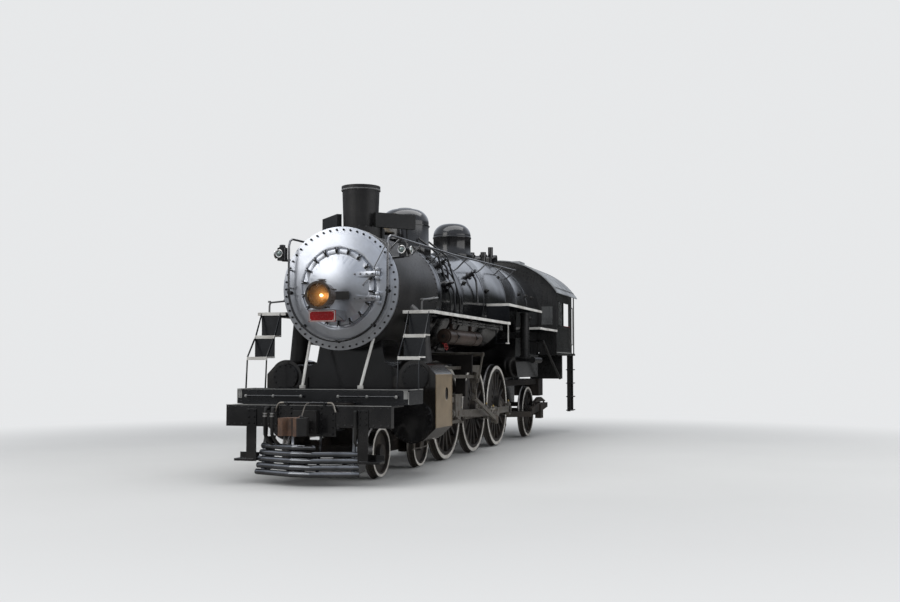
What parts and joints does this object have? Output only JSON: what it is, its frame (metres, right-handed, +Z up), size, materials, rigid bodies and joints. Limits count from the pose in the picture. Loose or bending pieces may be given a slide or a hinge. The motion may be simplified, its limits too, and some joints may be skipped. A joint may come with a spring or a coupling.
{
  "type": "steam locomotive",
  "caption": "Black steam locomotive with a silver smokebox front, lead truck, coupled spoked driving wheels, rods, domes, running boards and an arched-roof cab.",
  "frame": {"origin": "centre line, half way along the engine, at the flange tips; the rail top is 28 mm above it", "axes": "+X forward towards the smokebox, +Y to the engine's left, +Z up"},
  "size_m": [15.34, 3.26, 5.134],
  "materials": {
    "black_paint": "gloss",
    "grey_smokebox": "matt",
    "silver_paint": "satin",
    "rod_steel": "satin",
    "wheel_black": "satin",
    "rusty_casting": "matt",
    "hose_rubber": "matt",
    "bell_brass": "satin",
    "plate_red": "gloss",
    "window_glass": "clear"
  },
  "bodies": {
    "chassis": {"main_frame": "black_paint", "pilot_beam": "black_paint", "coupler": "rusty_casting", "front_deck": "black_paint", "pilot": "black_paint", "footboards": "black_paint", "front_rails": "black_paint", "air_hoses": "hose_rubber", "cylinder_saddle": "black_paint", "cylinders": "black_paint", "cylinder_covers": "black_paint", "guide_bars": "rod_steel", "guide_yoke": "black_paint", "valve_gear": "rod_steel", "eccentric_rods": "rod_steel", "smokebox": "grey_smokebox", "smokebox_front": "silver_paint", "stack": "grey_smokebox", "steam_pipes": "black_paint", "boiler": "black_paint", "firebox": "black_paint", "sand_dome": "black_paint", "steam_dome": "black_paint", "turret": "black_paint", "bell_stand": "black_paint", "number_boards": "black_paint", "marker_lamps": "black_paint", "handrails": "black_paint", "running_boards": "black_paint", "board_steps": "black_paint", "air_reservoirs": "black_paint", "air_pump": "black_paint", "boiler_pipes": "black_paint", "cab_front": "black_paint", "cab_side_left": "black_paint", "cab_side_right": "black_paint", "cab_roof": "black_paint", "cab_floor": "black_paint", "cab_glass": "window_glass", "backhead_fittings": "black_paint", "brake_gear": "rusty_casting", "driver_springs": "rusty_casting"},
    "smokebox_door": {"smokebox_door": "silver_paint", "headlight": "black_paint", "number_plate": "plate_red"},
    "bell": {"bell": "bell_brass"},
    "lead_truck": {"lead_truck_frame": "black_paint"},
    "lead_axle_front": {"lead_wheels_front": "wheel_black"},
    "lead_axle_rear": {"lead_wheels_rear": "wheel_black"},
    "driver_axle_1": {"driver_wheels_1": "wheel_black"},
    "driver_axle_2": {"driver_wheels_2": "wheel_black"},
    "driver_axle_3": {"driver_wheels_3": "wheel_black"},
    "side_rods_left": {"side_rod_left": "rod_steel"},
    "side_rods_right": {"side_rod_right": "rod_steel"},
    "crosshead_left": {"crosshead_left": "rod_steel"},
    "crosshead_right": {"crosshead_right": "rod_steel"},
    "main_rod_left": {"main_rod_left": "rod_steel"},
    "main_rod_right": {"main_rod_right": "rod_steel"},
    "trailing_truck": {"trailing_truck_frame": "black_paint"},
    "trailing_axle": {"trailing_wheels": "wheel_black"}
  },
  "joints": [
    {"name": "smokebox_door_hinge", "type": "hinge", "parent": "chassis", "child": "smokebox_door", "pos_m": [5.955, 0.735, 3.217], "axis": [0, 0, 1], "range_deg": [0, 100]},
    {"name": "bell_swing", "type": "hinge", "parent": "chassis", "child": "bell", "pos_m": [3.75, 0, 4.708], "axis": [0, 1, 0], "range_deg": [-35, 35]},
    {"name": "lead_truck_swivel", "type": "hinge", "parent": "chassis", "child": "lead_truck", "pos_m": [4.924, 0, 0.928], "axis": [0, 0, 1], "range_deg": [-3, 3]},
    {"name": "lead_axle_front_turn", "type": "hinge", "parent": "lead_truck", "child": "lead_axle_front", "pos_m": [5.94, 0, 0.447], "axis": [0, 1, 0], "continuous": true},
    {"name": "lead_axle_rear_turn", "type": "hinge", "parent": "lead_truck", "child": "lead_axle_rear", "pos_m": [3.908, 0, 0.447], "axis": [0, 1, 0], "continuous": true},
    {"name": "driver_axle_1_turn", "type": "hinge", "parent": "chassis", "child": "driver_axle_1", "pos_m": [2.331, 0, 0.955], "axis": [0, 1, 0], "continuous": true},
    {"name": "driver_axle_2_turn", "type": "hinge", "parent": "chassis", "child": "driver_axle_2", "pos_m": [0.35, 0, 0.955], "axis": [0, 1, 0], "continuous": true},
    {"name": "driver_axle_3_turn", "type": "hinge", "parent": "chassis", "child": "driver_axle_3", "pos_m": [-1.631, 0, 0.955], "axis": [0, 1, 0], "continuous": true},
    {"name": "side_rods_left_pin", "type": "hinge", "parent": "driver_axle_2", "child": "side_rods_left", "pos_m": [-0.01802, 0.995, 0.85639], "axis": [0, 1, 0], "continuous": true},
    {"name": "crosshead_left_slide", "type": "slide", "parent": "chassis", "child": "crosshead_left", "axis": [1, 0, 0], "range_m": [-0.0113, 0.7507]},
    {"name": "main_rod_left_wrist", "type": "hinge", "parent": "crosshead_left", "child": "main_rod_left", "pos_m": [2.88031, 1.15, 0.955], "axis": [0, 1, 0], "range_deg": [-5.6, 9.5]},
    {"name": "side_rods_right_pin", "type": "hinge", "parent": "driver_axle_2", "child": "side_rods_right", "pos_m": [0.25139, -0.995, 1.32302], "axis": [0, 1, 0], "continuous": true},
    {"name": "crosshead_right_slide", "type": "slide", "parent": "chassis", "child": "crosshead_right", "axis": [1, 0, 0], "range_m": [-0.2589, 0.5031]},
    {"name": "main_rod_right_wrist", "type": "hinge", "parent": "crosshead_right", "child": "main_rod_right", "pos_m": [3.12794, -1.15, 0.955], "axis": [0, 1, 0], "range_deg": [-14.84, 0.26]},
    {"name": "trailing_truck_swivel", "type": "hinge", "parent": "chassis", "child": "trailing_truck", "pos_m": [-2.95, 0, 0.718], "axis": [0, 0, 1], "range_deg": [-3, 3]},
    {"name": "trailing_axle_turn", "type": "hinge", "parent": "trailing_truck", "child": "trailing_axle", "pos_m": [-4.87, 0, 0.6755], "axis": [0, 1, 0], "continuous": true}
  ],
  "couplings": [
    {"joint": "driver_axle_1_turn", "follows": "driver_axle_2_turn", "ratio": 1},
    {"joint": "driver_axle_3_turn", "follows": "driver_axle_2_turn", "ratio": 1},
    {"joint": "side_rods_left_pin", "follows": "driver_axle_2_turn", "ratio": -1},
    {"joint": "side_rods_right_pin", "follows": "driver_axle_2_turn", "ratio": -1}
  ]
}
